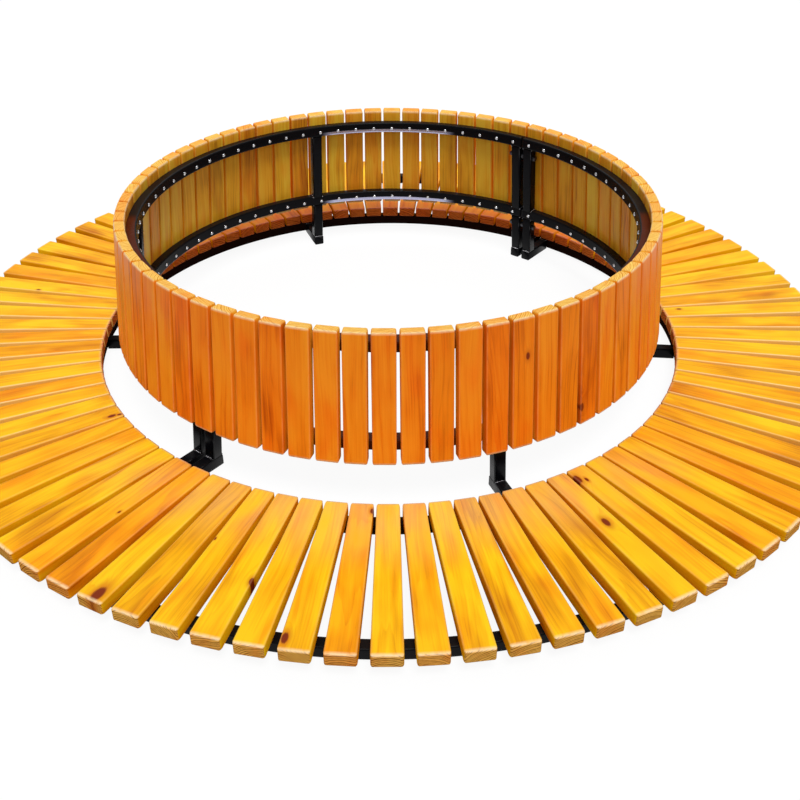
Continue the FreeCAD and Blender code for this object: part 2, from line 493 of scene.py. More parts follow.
def placeInLog(tree, place, shift, hue):
    # where a point of a plank lay in the round log that it was cut from, and how far from the pith
    px, py, pz = separate(tree, place)
    sx, sy, sz = separate(tree, shift)
    along = calc(tree, "MULTIPLY_ADD", sx, timber["logLength"], px)
    across = sway(tree, py, sy, timber["pithAcross"])
    across = sway(tree, across, noiseAlong(tree, along, timber["driftStretch"], 1.0), timber["drift"])
    depth = between(tree, sz, 0.0, 1.0, timber["pithNear"], timber["pithFar"])
    depth = calc(tree, "ADD", depth, pz)
    tilt = product(tree, calc(tree, "SUBTRACT", hue, 0.5), timber["slope"])
    depth = calc(tree, "MULTIPLY_ADD", px, tilt, depth)
    inLog = combine(tree, along, across, depth)
    wobble = noise(tree, inLog, timber["wobbleStretch"])
    return inLog, sway(tree, hypotenuse(tree, across, depth), wobble, timber["wobble"])


def aroundKnot(tree, px, py, knot):
    # how far a point is from a knot, in knot widths, and how much the knot pushes the rings aside
    along, across, size = separate(tree, knot)
    x = product(tree, calc(tree, "SUBTRACT", px, along), timber["knotStretch"])
    away = hypotenuse(tree, x, calc(tree, "SUBTRACT", py, across))
    away = calc(tree, "DIVIDE", away, size)
    push = calc(tree, "EXPONENT", product(tree, away, away, -timber["pushFall"]))
    return away, push, size


def growGrain(tree, inLog, radius):
    # the patterns that timber is made of: late wood and shade of each ring, and finer and broader streaks
    uneven = noiseAlong(tree, radius, timber["unevenStretch"], 2.0)
    turns = calc(tree, "DIVIDE", radius, timber["ringWidth"])
    turns = calc(tree, "MULTIPLY_ADD", uneven, timber["ringUnevenness"], turns)
    late = ramp(tree, calc(tree, "FRACT", turns), [(place, (level,) * 3) for place, level in timber["lateWood"]])
    number = calc(tree, "FLOOR", turns)
    return {
        "late": late,
        "shade": addNode(tree, "ShaderNodeTexWhiteNoise", {"W": number}, noise_dimensions="1D").outputs["Value"],
        "fibre": noise(tree, inLog, timber["fibreStretch"], 3.0, 0.6),
        "streak": noise(tree, inLog, timber["streakStretch"], 2.0, 0.55),
        "cloud": noise(tree, inLog, timber["cloudStretch"]),
        "pores": softStep(tree, noise(tree, inLog, timber["poreStretch"], 1.0), *timber["poreStep"]),
    }


def faceColour(tree, wood, grain, value, cloudy):
    lines = calc(tree, "MULTIPLY_ADD", grain["shade"], wood["lineShare"], timber["faintestLine"])
    amount = product(tree, grain["late"], lines)
    amount = sway(tree, amount, grain["fibre"], timber["fibreShare"])
    amount = sway(tree, amount, grain["streak"], wood["streakShare"], timber["streakMiddle"])
    cloudShare = calc(tree, "MULTIPLY_ADD", cloudy, wood["extraCloud"], wood["leastCloud"])
    amount = sway(tree, amount, grain["cloud"], cloudShare)
    amount = calc(tree, "MULTIPLY_ADD", grain["pores"], timber["poreShare"], amount)
    amount = sway(tree, amount, value, timber["valueShare"])
    amount = calc(tree, "ADD", amount, timber["darkness"])
    return ramp(tree, amount, list(zip((0.0, timber["middleShade"], 1.0), wood["shades"])))


def endColour(tree, wood, grain):
    strength = between(tree, grain["shade"], 0.0, 1.0, *timber["endStrength"])
    amount = product(tree, softStep(tree, grain["late"], *timber["endLate"]), strength)
    amount = sway(tree, amount, grain["streak"], timber["endStreak"], timber["endStreakMiddle"])
    return ramp(tree, amount, list(zip((0.0, 1.0), wood["endShades"])))


def timberMaterial(name, wood):
    material, tree, shader = startMaterial(name)
    own = {label: addNode(tree, "ShaderNodeAttribute", attribute_name=label).outputs["Vector"]
           for label in ("place", "border", "shift", "tint", "knotA", "knotB")}
    px, py, pz = separate(tree, own["place"])
    hue, value, cloudy = separate(tree, own["tint"])
    atEnd, atSide, onFlat = separate(tree, own["border"])
    endFace = softStep(tree, atEnd, *timber["endStep"])
    endEdge = calc(tree, "MINIMUM", atEnd, onFlat)
    longEdge = calc(tree, "MINIMUM", atSide, onFlat)
    inLog, radius = placeInLog(tree, own["place"], own["shift"], hue)

    fromKnot, push, bend = 99.0, 0.0, 0.0
    for label in ("knotA", "knotB"):
        away, share, size = aroundKnot(tree, px, py, own[label])
        fromKnot = calc(tree, "MINIMUM", fromKnot, away)
        push = calc(tree, "MAXIMUM", push, share)
        bend = calc(tree, "MULTIPLY_ADD", share, size, bend)
    radius = calc(tree, "MULTIPLY_ADD", bend, -timber["knotPush"], radius)
    grain = growGrain(tree, inLog, radius)

    colour = faceColour(tree, wood, grain, value, cloudy)
    ends = endColour(tree, wood, grain)
    if not wood["stained"]:
        ends = blend(tree, softStep(tree, px, *timber["innerEndStep"]), ends, timber["innerEnd"], "MULTIPLY")
    colour = blend(tree, endFace, colour, ends)
    patches = softStep(tree, noise(tree, inLog, timber["patchStretch"], 1.0), *timber["patchStep"])
    redness = product(tree, patches, timber["redByPatch"])
    redness = calc(tree, "MULTIPLY_ADD", product(tree, hue, hue), timber["redByHue"], redness)
    colour = blend(tree, redness, colour, timber["redder"], "MULTIPLY")
    if wood["stained"]:
        outside = softStep(tree, pz, *timber["outsideStep"])
        outside = product(tree, outside, calc(tree, "SUBTRACT", 1.0, endFace))
        colour = blend(tree, outside, colour, timber["outside"], "MULTIPLY")
    else:
        # painted sheen: the front slats are paler near their inner ends, standing in for the back slats reflected there
        toRight, toFront = separate(tree, spotOnPiece(tree))[:2]
        paintedSheen = product(tree, softStep(tree, px, *timber["sheenAlong"]),
                           softStep(tree, toFront, *timber["sheenFront"]),
                           between(tree, grain["cloud"], *timber["sheenCloud"]), onFlat)
        colour = blend(tree, paintedSheen, colour, timber["edgeColour"])

    halo = product(tree, push, timber["haloShare"], softStep(tree, fromKnot, *timber["haloStep"]))
    colour = blend(tree, halo, colour, timber["haloColour"])
    ragged = sway(tree, fromKnot, grain["fibre"], timber["raggedness"])
    colour = blend(tree, softStep(tree, ragged, *timber["knotStep"]), colour, timber["knotColour"])

    # handled edges are paler, the ends most: partly wear and partly a painted highlight of the light on their rounding
    endWearAndHighlight, longWearAndHighlight = timber["endWearAndHighlight"], timber["longWearAndHighlight"]
    if not wood["stained"]:
        endWearAndHighlight = between(tree, px, *timber["seatEndWearAndHighlight"])
        # painted highlight: side faces that look to the front, on the slats to the left and right, are pale as well
        facing = normalHere(tree)[1]
        fromFront = calc(tree, "ABSOLUTE", calc(tree, "ARCTAN2", toFront, toRight))
        sideways = calc(tree, "ABSOLUTE", calc(tree, "SUBTRACT", fromFront, math.pi / 2))
        lit = product(tree, softStep(tree, facing, *timber["litFacing"]),
                      softStep(tree, sideways, *timber["litSideways"]), softStep(tree, toFront, *timber["litFront"]))
        onSide = softStep(tree, atSide, *timber["litEdge"])
        colour = blend(tree, product(tree, onSide, lit), colour, timber["litSide"])
        longWearAndHighlight = calc(tree, "MULTIPLY_ADD", lit, timber["litWear"], longWearAndHighlight)
    wornAndHighlit = calc(tree, "MAXIMUM", product(tree, endEdge, endWearAndHighlight), product(tree, longEdge, longWearAndHighlight))
    paleMarks = noise(tree, inLog, timber["wearStretch"], 3.0, 0.6)
    wornAndHighlit = product(tree, wornAndHighlit, between(tree, paleMarks, *timber["wearPatches"]))
    colour = blend(tree, wornAndHighlit, colour, timber["edgeColour"])
    if not wood["stained"]:
        # painted shade: the tops of the rear slats' inner ends, under the back, are darker and redder
        rearEndShade = product(tree, softStep(tree, px, *timber["rearEndAlong"]),
                          softStep(tree, toFront, *timber["rearEndBack"]), onFlat)
        colour = blend(tree, rearEndShade, colour, timber["rearEndShade"], "MULTIPLY")

    height = product(tree, grain["fibre"], timber["fibreHeight"])
    height = calc(tree, "MULTIPLY_ADD", grain["late"], timber["lateHeight"], height)
    height = calc(tree, "MULTIPLY_ADD", grain["pores"], timber["poreHeight"], height)
    bump = bumps(tree, height, timber["bumpStrength"], timber["bumpDepth"])
    rough = calc(tree, "MULTIPLY_ADD", endFace, timber["endRoughness"], timber["roughness"])
    rough = calc(tree, "MULTIPLY_ADD", grain["fibre"], timber["fibreRoughness"], rough)
    # the sawn sides and ends are duller than the planed faces
    dull = calc(tree, "MAXIMUM", softStep(tree, atSide, *wood["sawnStep"]), endFace)
    gloss = calc(tree, "MAXIMUM", calc(tree, "SUBTRACT", 1.0, dull), endEdge)
    if not wood["stained"]:
        gloss = calc(tree, "MAXIMUM", gloss, longEdge)
    shine = product(tree, gloss, wood["gloss"])
    wire(tree, shader, {"Base Color": colour, "Roughness": rough, "Normal": bump, "Specular IOR Level": shine})
    return material


seatTimber = timberMaterial("oiledSeatTimber", seatWood)
backTimber = timberMaterial("oiledBackTimber", backWood)

# Powder coat and steel
coat = {
    "colour": (0.0034, 0.0034, 0.0048),
    "shine": 0.07,
    # painted shade and reflection: warm brown for the inner seat ring
    "shadedColour": (0.020, 0.008, 0.006),
    "cloudStretch": (9.0, 9.0, 9.0),
    "peelStretch": (420.0, 420.0, 420.0),
    "gritStretch": (1400.0, 1400.0, 1400.0),
    "dustAndReflectionColour": (0.024, 0.019, 0.016, 1.0),
    "dustAndReflectionShare": 0.45,
    "dustAndReflectionFacing": (0.55, 0.98),
    "dustAndReflectionPatches": (0.35, 0.70),
    # painted reflection of the slats' orange on the back rings
    "stain": (0.080, 0.013, 0.003, 1.0),
    "stainStep": (0.50, 0.65),
    "reflectionFront": 0.6,
    "frontStep": (0.1, -0.1),
    "reflectionHeights": (0.12, 0.14),
    # painted highlight on the lower inner edge of the back rings at the rear
    "highlightColour": (0.48, 0.48, 0.66, 1.0),
    "highlightHalfAngle": 19.0,
    "highlightFade": 4.0,
    "highlightAbove": 0.0065,
    "highlightHeights": (0.00845, 0.0065),
    "highlightWidths": (0.012, 0.009),
    "roughness": 0.20,
    "cloudRoughness": 0.14,
    "dustRoughness": 0.15,
    "gritShare": 0.25,
    "bumpStrength": 0.22,
    "bumpDepth": 0.0003,
}


def rubbedBand(tree, radius, height):
    # painted highlight: a band along the lower edge of the back rings' inner faces
    lower = 0.0
    for drop in (rings["topDrop"], rings["lowDrop"]):
        edge = backPoint(rings["backLayer"] + bench["tube"], drop + bench["tube"])
        offMiddle = calc(tree, "ABSOLUTE", calc(tree, "SUBTRACT", height, edge.z + coat["highlightAbove"]))
        fromEdge = calc(tree, "ABSOLUTE", calc(tree, "SUBTRACT", radius, edge.x))
        band = product(tree, softStep(tree, offMiddle, *coat["highlightHeights"]),
                       softStep(tree, fromEdge, *coat["highlightWidths"]))
        lower = calc(tree, "ADD", lower, band)
    return lower


def coatMaterial(name, paint, shine):
    # near black, faintly dimpled, with a brown-grey on what faces up that is partly dust and partly a painted
    # reflection of the slats
    material, tree, shader = startMaterial(name)
    place = spotOnPiece(tree)
    x, y, z = separate(tree, place)
    outX, outY, up = normalHere(tree)
    cloud = noise(tree, place, coat["cloudStretch"], 4.0, 0.6)
    peel = noise(tree, place, coat["peelStretch"], 1.0)
    grit = noise(tree, place, coat["gritStretch"])
    dustAndReflection = product(tree, softStep(tree, up, *coat["dustAndReflectionFacing"]), softStep(tree, cloud, *coat["dustAndReflectionPatches"]))
    colour = blend(tree, product(tree, dustAndReflection, coat["dustAndReflectionShare"]), (*paint, 1.0), coat["dustAndReflectionColour"])

    # painted reflection: a warm brown on the face of the back rings that lies behind the slats, and in front over their
    # tops, stands in for the slats' orange reflected in the coat
    outward = calc(tree, "MULTIPLY_ADD", outX, x, product(tree, outY, y))
    outward = calc(tree, "MULTIPLY_ADD", softStep(tree, y, *coat["frontStep"]), coat["reflectionFront"], outward)
    stained = product(tree, softStep(tree, outward, *coat["stainStep"]), softStep(tree, z, *coat["reflectionHeights"]))
    colour = blend(tree, stained, colour, coat["stain"])

    # painted highlight: at the rear the back rings get a pale bluish metallic band, standing in for a reflection
    fromRear = calc(tree, "ABSOLUTE", calc(tree, "DEGREES", calc(tree, "ARCTAN2", x, y)))
    near = softStep(tree, fromRear, coat["highlightHalfAngle"], coat["highlightHalfAngle"] - coat["highlightFade"])
    paleMarks = product(tree, near, rubbedBand(tree, hypotenuse(tree, x, y), z))
    colour = blend(tree, paleMarks, colour, coat["highlightColour"])

    rough = calc(tree, "MULTIPLY_ADD", dustAndReflection, coat["dustRoughness"], coat["roughness"])
    rough = calc(tree, "MULTIPLY_ADD", cloud, coat["cloudRoughness"], rough)
    height = calc(tree, "MULTIPLY_ADD", grit, coat["gritShare"], peel)
    bump = bumps(tree, height, coat["bumpStrength"], coat["bumpDepth"])
    wire(tree, shader, {"Base Color": colour, "Roughness": rough, "Normal": bump, "Metallic": paleMarks})
    shader["Specular IOR Level"].default_value = shine
    return material


# each steel: its colour, the colour of its stains, and its least roughness
steel = {
    "cloudStretch": (160.0, 160.0, 160.0),
    "stainStep": (0.45, 0.70),
    "cloudRoughness": 0.18,
    "scratchStretch": (900.0, 900.0, 2600.0),
    "scratchStrength": 0.2,
    "scratchDepth": 0.0001,
    "brightSteel": ((0.66, 0.67, 0.70, 1.0), (0.52, 0.53, 0.56, 1.0), 0.16),
    "dulledZinc": ((0.10, 0.10, 0.11, 1.0), (0.022, 0.022, 0.024, 1.0), 0.24),
    "rubbedWeld": ((0.34, 0.34, 0.36, 1.0), (0.012, 0.012, 0.014, 1.0), 0.16),
}


def steelMaterial(name):
    material, tree, shader = startMaterial(name)
    colour, stain, roughness = steel[name]
    place = spotOnPiece(tree)
    cloud = noise(tree, place, steel["cloudStretch"], 3.0, 0.6)
    scratch = noise(tree, place, steel["scratchStretch"])
    mixed = blend(tree, softStep(tree, cloud, *steel["stainStep"]), colour, stain)
    rough = calc(tree, "MULTIPLY_ADD", cloud, steel["cloudRoughness"], roughness)
    bump = bumps(tree, scratch, steel["scratchStrength"], steel["scratchDepth"])
    wire(tree, shader, {"Base Color": mixed, "Roughness": rough, "Normal": bump})
    shader["Metallic"].default_value = 1.0
    return material


blackCoat = coatMaterial("blackPowderCoat", coat["colour"], coat["shine"])
# painted shade and reflection: the inner seat ring takes a warm brown copy of the coat without shine, standing in for
# its shade and the slats' orange reflected in it
shadedCoat = coatMaterial("shadedPowderCoat", coat["shadedColour"], 0.0)
screwSteel = steelMaterial("brightSteel")
boltSteel = steelMaterial("dulledZinc")
weldSteel = steelMaterial("rubbedWeld")
print("materials mixed")


# Slats: one rounded plank, copied round the ring with its own shade and piece of log

def ringCopies():
    tree, given, result = startShape("ringCopies", {
        "Geometry": "Geometry", "Count": "Int", "First Angle": "Float", "Seed": "Int"})
    points = output(tree, "GeometryNodePoints", {"Count": given["Count"]})
    step = calc(tree, "DIVIDE", math.tau, given["Count"])
    index = output(tree, "GeometryNodeInputIndex")
    turn = calc(tree, "MULTIPLY_ADD", index, step, calc(tree, "RADIANS", given["First Angle"]))
    copies = output(tree, "GeometryNodeInstanceOnPoints", {
        "Points": points, "Instance": given["Geometry"], "Rotation": turned(tree, z=turn)})
    for offset, label in enumerate(("shift", "tint")):
        seed = calc(tree, "ADD", given["Seed"], float(offset))
        drawn = output(tree, "FunctionNodeRandomValue", {0: (0, 0, 0), 1: (1, 1, 1), 7: index, 8: seed},
                       data_type="FLOAT_VECTOR")
        copies = storeNumber(tree, copies, label, drawn, domain="INSTANCE")
    copies = storeNumber(tree, copies, "number", index, "INT", "INSTANCE")
    tree.links.new(output(tree, "GeometryNodeRealizeInstances", {0: copies}), result)
    return tree


copiesTree = ringCopies()


def addCopies(tree, given, shape):
    ring = tree.nodes.new("GeometryNodeGroup")
    ring.node_tree = copiesTree
    for label in ("Count", "First Angle", "Seed"):
        tree.links.new(given[label], ring.inputs[label])
    tree.links.new(shape, ring.inputs["Geometry"])
    return ring.outputs[0]


def plankRing():
    tree, given, result = startShape("plankRing", {
        "Length": "Float", "Inner Width": "Float", "Outer Width": "Float", "Thickness": "Float",
        "Edge Radius": "Float", "End Radius": "Float", "Turn Down": "Float",
        "Middle Radius": "Float", "Middle Height": "Float",
        "Count": "Int", "First Angle": "Float", "Seed": "Int", "Material": "Material"})
    block = output(tree, "GeometryNodeMeshCube", {0: (1, 1, 1), 1: 6, 2: 6, 3: 6})
    spot = output(tree, "GeometryNodeInputPosition")
    side = vecCalc(tree, "SIGN", spot)
    # vertices at 0.1, 0.3 and 0.5 of the unit block go to the start, middle and end of the rounding
    inEdge = vecCalc(tree, "SUBTRACT", vecCalc(tree, "ABSOLUTE", spot), (0.1, 0.1, 0.1))
    inEdge = vecCalc(tree, "MULTIPLY", inEdge, (2.5, 2.5, 2.5))
    bend = vecCalc(tree, "TANGENT", vecCalc(tree, "MULTIPLY", inEdge, (math.pi / 4,) * 3))
    bend = vecCalc(tree, "MULTIPLY", vecCalc(tree, "NORMALIZE", bend), side)
    rounding = combine(tree, given["End Radius"], given["Edge Radius"], given["Edge Radius"])
    middleWidth = product(tree, calc(tree, "ADD", given["Inner Width"], given["Outer Width"]), 0.5)
    half = vecCalc(tree, "MULTIPLY", combine(tree, given["Length"], middleWidth, given["Thickness"]), (0.5, 0.5, 0.5))
    core = vecCalc(tree, "MULTIPLY", vecCalc(tree, "SUBTRACT", half, rounding), side)
    shaped = vecCalc(tree, "ADD", core, vecCalc(tree, "MULTIPLY", bend, rounding))
    plank = storeNumber(tree, block, "border", inEdge)
    plank = output(tree, "GeometryNodeSetPosition", {0: plank, 2: shaped})

    # wider towards the outer end
    x, y, z = separate(tree, spot)
    widening = calc(tree, "DIVIDE", calc(tree, "SUBTRACT", given["Outer Width"], given["Inner Width"]), middleWidth)
    widening = calc(tree, "DIVIDE", widening, given["Length"])
    y = product(tree, y, calc(tree, "MULTIPLY_ADD", x, widening, 1.0))
    plank = output(tree, "GeometryNodeSetPosition", {0: plank, 2: combine(tree, x, y, z)})
    plank = storeNumber(tree, plank, "place", spot)
    plank = output(tree, "GeometryNodeTransform", {
        "Geometry": plank, "Rotation": turned(tree, y=calc(tree, "RADIANS", given["Turn Down"])),
        "Translation": combine(tree, given["Middle Radius"], 0.0, given["Middle Height"])})
    smooth = output(tree, "GeometryNodeSetShadeSmooth", {0: addCopies(tree, given, plank)})
    dress(tree, smooth, given["Material"], result)
    return tree


planksTree = plankRing()

seatSlats = {
    "Length": 0.469,
    "Inner Width": 0.0545,
    "Outer Width": 0.0685,
    "Thickness": 0.035,
    "Edge Radius": 0.0045,
    "End Radius": 0.0100,
    "Count": 88,
    "Seed": 11,
    "innerRadius": 0.843,
    "turnedOn": -0.59,
}
backSlats = {
    "Length": 0.343,
    "Inner Width": 0.057,
    "Outer Width": 0.057,
    "Thickness": 0.030,
    "Edge Radius": 0.0040,
    "End Radius": 0.0080,
    "Count": 72,
    "Seed": 29,
    "turnedOn": 0.16,
}

# Knots of single slats, by the slat's number: place along and across it from its middle, and half the knot's width
seatKnots = {
    28: [(0.059, 0.026, 0.0034)],
    39: [(-0.204, 0.015, 0.0062), (-0.224, 0.019, 0.0042)],
    44: [(-0.006, 0.024, 0.0028)],
    46: [(0.213, 0.010, 0.0130)],
    48: [(-0.038, -0.026, 0.0025)],
    49: [(0.060, 0.031, 0.0060)],
    51: [(0.202, -0.024, 0.0085)],
    52: [(-0.205, 0.025, 0.0050)],
    60: [(-0.036, -0.001, 0.0085)],
    61: [(-0.194, -0.025, 0.0085), (-0.181, -0.008, 0.0042)],
    76: [(-0.185, 0.013, 0.0040)],
}
backKnots = {
    48: [(-0.072, 0.010, 0.0056)],
    51: [(0.121, -0.024, 0.0066)],
}


def firstAngle(slats):
    # half a slat past the joint, and on by as much as this ring is turned
    return bench["jointAngle"] + 180 / slats["Count"] + slats["turnedOn"]


def giveKnots(mesh, knots):
    numbers = [0] * len(mesh.vertices)
    mesh.attributes["number"].data.foreach_get("value", numbers)
    farOff = (9.0, 9.0, 0.001)
    for place, label in enumerate(("knotA", "knotB")):
        values = []
        for number in numbers:
            own = knots.get(number, [])
            values.extend(own[place] if place < len(own) else farOff)
        mesh.attributes.new(label, "FLOAT_VECTOR", "POINT").data.foreach_set("vector", values)


def makeSlats():
    seatMiddle = (seatSlats["innerRadius"] + seatSlats["Length"] / 2, bench["seatTop"] - seatSlats["Thickness"] / 2)
    backMiddle = backPoint(backSlats["Thickness"] / 2, backSlats["Length"] / 2).xz
    rows = {
        "seat": (seatSlats, seatMiddle, 0.0, seatTimber, seatKnots),
        "back": (backSlats, backMiddle, 90 - bench["lean"], backTimber, backKnots),
    }
    for label, (slats, (radius, height), turnDown, material, knots) in rows.items():
        sizes = {"Turn Down": turnDown, "Middle Radius": radius, "Middle Height": height,
                 "First Angle": firstAngle(slats), "Material": material}
        piece = growPiece(label + "Slats", planksTree, slats | sizes)
        giveKnots(piece.data, knots)
        nodes = [label + "_slats_" + side for side in ("front", "left", "rear", "right")]
        finishPiece(piece, label + "_timber", *nodes)


makeSlats()
print("slats laid")

# Rings of square tube, each in two halves

def tubeHalfRing():
    tree, given, result = startShape("tubeHalfRing", {
        "Radius": "Float", "Height": "Float", "Lean": "Float", "Start Angle": "Float", "Sweep": "Float", "Steps": "Int",
        "Tube": "Float", "Corner Radius": "Float", "Corner Steps": "Int", "Material": "Material"})
    arc = output(tree, "GeometryNodeCurveArc", {
        "Resolution": given["Steps"], 4: given["Radius"], "Start Angle": calc(tree, "RADIANS", given["Start Angle"]),
        "Sweep Angle": calc(tree, "RADIANS", given["Sweep"])}, mode="RADIUS")
    arc = output(tree, "GeometryNodeSetCurveNormal", {0: arc}, mode="Z_UP")
    arc = output(tree, "GeometryNodeSetCurveTilt", {0: arc, 2: calc(tree, "RADIANS", given["Lean"])})
    square = output(tree, "GeometryNodeCurvePrimitiveQuadrilateral", {0: given["Tube"], 1: given["Tube"]})
    square = output(tree, "GeometryNodeFilletCurve", {0: square, 1: given["Corner Steps"], 2: given["Corner Radius"]},
                    mode="POLY")
    tube = output(tree, "GeometryNodeCurveToMesh", {0: arc, 1: square, "Fill Caps": True})
    tube = output(tree, "GeometryNodeSetPosition", {0: tube, 3: combine(tree, z=given["Height"])})
    tube = output(tree, "GeometryNodeSetShadeSmooth", {0: tube})
    dress(tree, tube, given["Material"], result)
    return tree


halfRingTree = tubeHalfRing()


def makeRings():
    half = bench["tube"] / 2
    topMiddle = backPoint(rings["backLayer"] + half, rings["topDrop"] + half)
    lowMiddle = backPoint(rings["backLayer"] + half, rings["lowDrop"] + half)
    seatHeight = bench["ringUnderside"] + half
    places = {
        "back_ring_top": (topMiddle.x, topMiddle.z, bench["lean"]),
        "back_ring_low": (lowMiddle.x, lowMiddle.z, bench["lean"]),
        "seat_ring_inner": (rings["innerSeatRadius"] + half, seatHeight, 0.0),
        "seat_ring_outer": (rings["outerSeatRadius"] + half, seatHeight, 0.0),
    }
    for label, (radius, height, lean) in places.items():
        gapAngle = math.degrees(rings["endGap"] / 2 / radius)
        for side, start in (("rear", bench["jointAngle"]), ("front", bench["jointAngle"] + 180)):
            piece = growPiece(label + "_tube_" + side, halfRingTree, {
                "Radius": radius, "Height": height, "Lean": lean, "Steps": rings["steps"],
                "Tube": bench["tube"], "Corner Radius": bench["tubeCorner"], "Corner Steps": bench["cornerSteps"],
                "Start Angle": start + gapAngle, "Sweep": 180 - 2 * gapAngle,
                "Material": shadedCoat if label == "seat_ring_inner" else blackCoat})
            finishPiece(piece, "black_tube", label + "_" + side)


makeRings()
print("rings bent")

# Frames: a leaning post on a flat arm, eight in all. Angles count from the joint at which each half begins.
frames = {
    "front": (0.0, 59.4, 122.7, 180.0),
    "rear": (0.0, 58.6, 129.3, 180.0),
    "pairGap": 0.012,
    "armTop": 0.032,
    "weldGap": 0.0002,
}


def squareSection():
    # points of a square with rounded corners, centred on zero
    corner, steps = bench["tubeCorner"], bench["cornerSteps"]
    reach = bench["tube"] / 2 - corner
    points = []
    for quarter, (signX, signY) in enumerate(((1, 1), (-1, 1), (-1, -1), (1, -1))):
        for step in range(steps + 1):
            turn = math.radians(90 * quarter + 90 * step / steps)
            points.append((signX * reach + corner * math.cos(turn), signY * reach + corner * math.sin(turn)))
    return points


def framePlaces():
    # the angle of each frame, and how far it stands beside the line at that angle
    beside = (frames["pairGap"] + bench["tube"]) / 2
    places = []
    for start, angles in ((bench["jointAngle"] + 180, frames["front"]), (bench["jointAngle"], frames["rear"])):
        places.extend((start + angle, side) for angle, side in zip(angles, (beside, 0.0, 0.0, -beside)))
    return places


def postInward(side):
    # how far a post stands in from the slats' outer face, so that its corners clear the round of the slats
    radius = backPoint(rings["backLayer"], 0).x
    edge = abs(side) + bench["tube"] / 2
    return rings["backLayer"] + frames["weldGap"] + radius - math.sqrt(radius ** 2 - edge ** 2)


def postFoot(inward, side=0.0):
    # where a line down the slope of the back meets the arms' top
    lean = math.radians(bench["lean"])
    fall = bench["backTopHeight"] - inward * math.sin(lean) - frames["armTop"]
    return backPoint(inward, fall / math.cos(lean), side)


def addBar(shape, turn, startPoints, endPoints):
    start, end = ([shape.verts.new(turn @ point) for point in points] for points in (startPoints, endPoints))
    count = len(start)
    for index in range(count):
        after = (index + 1) % count
        shape.faces.new((start[index], start[after], end[after], end[index])).smooth = True
    shape.faces.new(start)
    shape.faces.new(end)


def makeFrames():
    size, half = bench["tube"], bench["tube"] / 2
    inner = rings["innerSeatRadius"]
    section = squareSection()
    shapes = {label: bmesh.new() for label in ("post_upper", "post_lower", "arm_inner", "arm_outer")}
    for angle, side in framePlaces():
        turn = Matrix.Rotation(math.radians(angle), 4, "Z")
        middle = postInward(side) + half

        def acrossPost(down):
            return [backPoint(middle + inward, down, side + across) for inward, across in section]

        def acrossArm(radius):
            return [Vector((math.sqrt(radius ** 2 - (side + across) ** 2), side + across, half + up))
                    for across, up in section]

        foot = [postFoot(middle + inward, side + across) for inward, across in section]
        armStart = [Vector((postFoot(middle + half).x, side + across, half + up)) for across, up in section]
        addBar(shapes["post_upper"], turn, acrossPost(rings["topDrop"] + size), acrossPost(rings["lowDrop"]))
        addBar(shapes["post_lower"], turn, acrossPost(rings["lowDrop"] + size), foot)
        addBar(shapes["arm_inner"], turn, armStart, acrossArm(inner))
        addBar(shapes["arm_outer"], turn, acrossArm(inner + size), acrossArm(rings["outerSeatRadius"]))
    for label, shape in shapes.items():
        piece = closePiece(label + "_tubes", shape, blackCoat)
        finishPiece(piece, "black_tube", *[label + "_" + str(number) for number in range(1, 9)])


makeFrames()
print("frames welded")

# Screws: domed heads on the inner faces of the back rings and under the seat rings
screws = {
    "diameter": 0.011,
    "height": 0.0035,
    "sides": 12,
    "profile": ((1.0, 0.0), (1.0, 0.2), (0.84, 0.62), (0.52, 0.92), (0.36, 0.98), (0.30, 0.55)),
}


def screwRing():
    tree, given, result = startShape("screwRing", {
        "Geometry": "Geometry", "Count": "Int", "First Angle": "Float", "Seed": "Int", "Material": "Material"})
    dress(tree, addCopies(tree, given, given["Geometry"]), given["Material"], result)
    return tree


screwsTree = screwRing()


def makeScrews():
    lean = math.radians(bench["lean"])
    half = bench["tube"] / 2
    inward = rings["backLayer"] + bench["tube"]
    inwards = Vector((-math.cos(lean), 0.0, -math.sin(lean)))
    down = Vector((0.0, 0.0, -1.0))
    seatHeight = bench["ringUnderside"]
    rows = {
        "back_screws_top": (backPoint(inward, rings["topDrop"] + half), inwards, backSlats, 41),
        "back_screws_low": (backPoint(inward, rings["lowDrop"] + half), inwards, backSlats, 42),
        "seat_screws_inner": (Vector((rings["innerSeatRadius"] + half, 0, seatHeight)), down, seatSlats, 43),
        "seat_screws_outer": (Vector((rings["outerSeatRadius"] + half, 0, seatHeight)), down, seatSlats, 44),
    }
    profile = [(screws["diameter"] / 2 * across, screws["height"] * up) for across, up in screws["profile"]]
    for label, (place, direction, slats, seed) in rows.items():
        shape = bmesh.new()
        facing = direction.to_track_quat("Z", "Y").to_matrix().to_4x4()
        lathe(shape, profile, screws["sides"], Matrix.Translation(place) @ facing)
        base = bpy.data.meshes.new(label + "Head")
        shape.to_mesh(base)
        shape.free()
        piece = growPiece(label + "_heads", screwsTree, {
            "Count": slats["Count"], "First Angle": firstAngle(slats), "Seed": seed, "Material": screwSteel}, base)
        finishPiece(piece, "screw_steel", label)


makeScrews()
print("screws driven")

# Joint bolts: head, washers, spacer and nut, two to a joint. Crowns are shares of a height, threads of the shank.
bolts = {
    "shank": 0.010,
    "hole": 0.011,
    "flats": 0.016,
    "chamfer": 0.0152,
    "headHeight": 0.0064,
    "headCrown": 0.18,
    "nutHeight": 0.008,
    "nutCrown": 0.14,
    "nutBore": 0.0103,
    "tail": 0.004,
    "washer": 0.020,
    "washerThickness": 0.002,
    "spacer": 0.018,
    "bevel": 0.0003,
    "downPost": 0.032,
    "threadPitch": 0.0015,
    "threadRoot": 0.88,
    "threadCrest": 0.99,
    "threadEnd": 0.78,
    "sides": 24,
}


